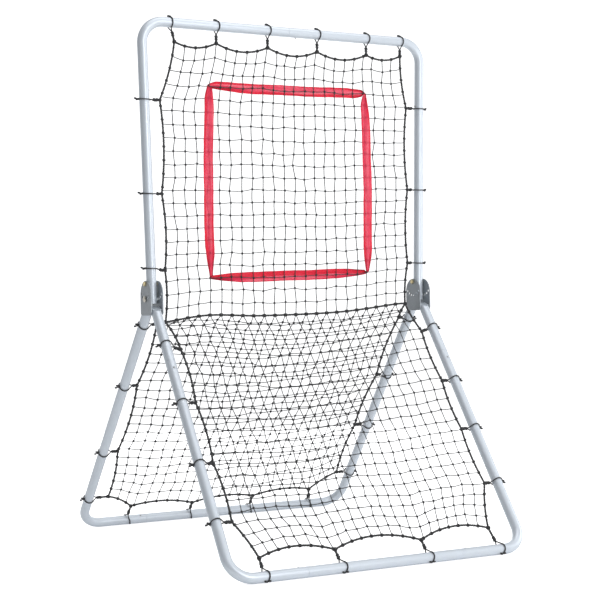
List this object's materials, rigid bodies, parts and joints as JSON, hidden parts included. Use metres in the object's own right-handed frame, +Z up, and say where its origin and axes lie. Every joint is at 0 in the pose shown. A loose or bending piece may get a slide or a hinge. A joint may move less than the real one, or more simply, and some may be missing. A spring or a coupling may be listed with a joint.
{
  "type": "pitching target net",
  "caption": "Free-standing tubular rebound net with a strike-zone panel, an A-frame of front and rear legs, and side hinges that tilt the upper frame.",
  "frame": {"origin": "on the ground, under the middle of the footprint", "axes": "+Z up, +Y towards the back leg frame, +X to the right as the thrower sees it"},
  "size_m": [1.0754, 1.2558, 1.6997],
  "materials": {
    "tube_paint": "smooth silver-grey powder coat on round steel tube",
    "plate_paint": "silver-grey powder coat on flat steel plate",
    "zinc_fasteners": "yellow zinc-plated steel",
    "button_steel": "plain spring-steel snap buttons",
    "net_twine": "black knotted polyethylene twine",
    "border_rope": "black laid rope, slightly fuzzy",
    "elastic_cord": "black braided elastic cord",
    "strike_fabric": "red semi-sheer polyester tape"
  },
  "bodies": {
    "front_leg_frame": {"front_foot_bar": "tube_paint", "front_corner_tube_left": "tube_paint", "front_corner_tube_right": "tube_paint", "front_hinge_stub_left": "tube_paint", "front_hinge_stub_right": "tube_paint", "front_hinge_plate_left": "plate_paint", "front_hinge_plate_right": "plate_paint", "front_snap_buttons": "button_steel", "pivot_bolt_left": "zinc_fasteners", "pivot_bolt_right": "zinc_fasteners", "pivot_nuts": "zinc_fasteners", "front_net": "net_twine", "front_net_border_rope": "border_rope", "front_net_ties": "elastic_cord", "waist_rope": "border_rope"},
    "rear_leg_frame": {"rear_foot_bar": "tube_paint", "rear_corner_tube_left": "tube_paint", "rear_corner_tube_right": "tube_paint", "rear_hinge_stub_left": "tube_paint", "rear_hinge_stub_right": "tube_paint", "rear_hinge_plate_left": "plate_paint", "rear_hinge_plate_right": "plate_paint", "rear_snap_buttons": "button_steel", "rear_net": "net_twine", "rear_net_border_rope": "border_rope", "rear_net_ties": "elastic_cord"},
    "target_frame": {"top_corner_tube_left": "tube_paint", "top_corner_tube_right": "tube_paint", "upright_tube_left": "tube_paint", "upright_tube_right": "tube_paint", "upper_snap_buttons": "button_steel", "upper_net": "net_twine", "upper_net_border_rope": "border_rope", "upper_net_ties": "elastic_cord", "strike_strip_left": "strike_fabric", "strike_strip_right": "strike_fabric", "strike_strip_top": "strike_fabric", "strike_strip_bottom": "strike_fabric"},
    "lock_pin_left": {"lock_pin_left": "zinc_fasteners"},
    "lock_pin_right": {"lock_pin_right": "zinc_fasteners"}
  },
  "joints": [
    {"name": "target_tilt", "type": "hinge", "parent": "front_leg_frame", "child": "target_frame", "pos_m": [0, -0.0319, 0.852], "axis": [1, 0, 0], "range_deg": [-48, 48]},
    {"name": "rear_leg_fold", "type": "hinge", "parent": "front_leg_frame", "child": "rear_leg_frame", "pos_m": [0, -0.0319, 0.852], "axis": [1, 0, 0], "range_deg": [0, 55]},
    {"name": "lock_pin_left_pull", "type": "slide", "parent": "rear_leg_frame", "child": "lock_pin_left", "axis": [-1, 0, 0], "range_m": [0, 0.03]},
    {"name": "lock_pin_right_pull", "type": "slide", "parent": "front_leg_frame", "child": "lock_pin_right", "axis": [1, 0, 0], "range_m": [0, 0.03]}
  ]
}
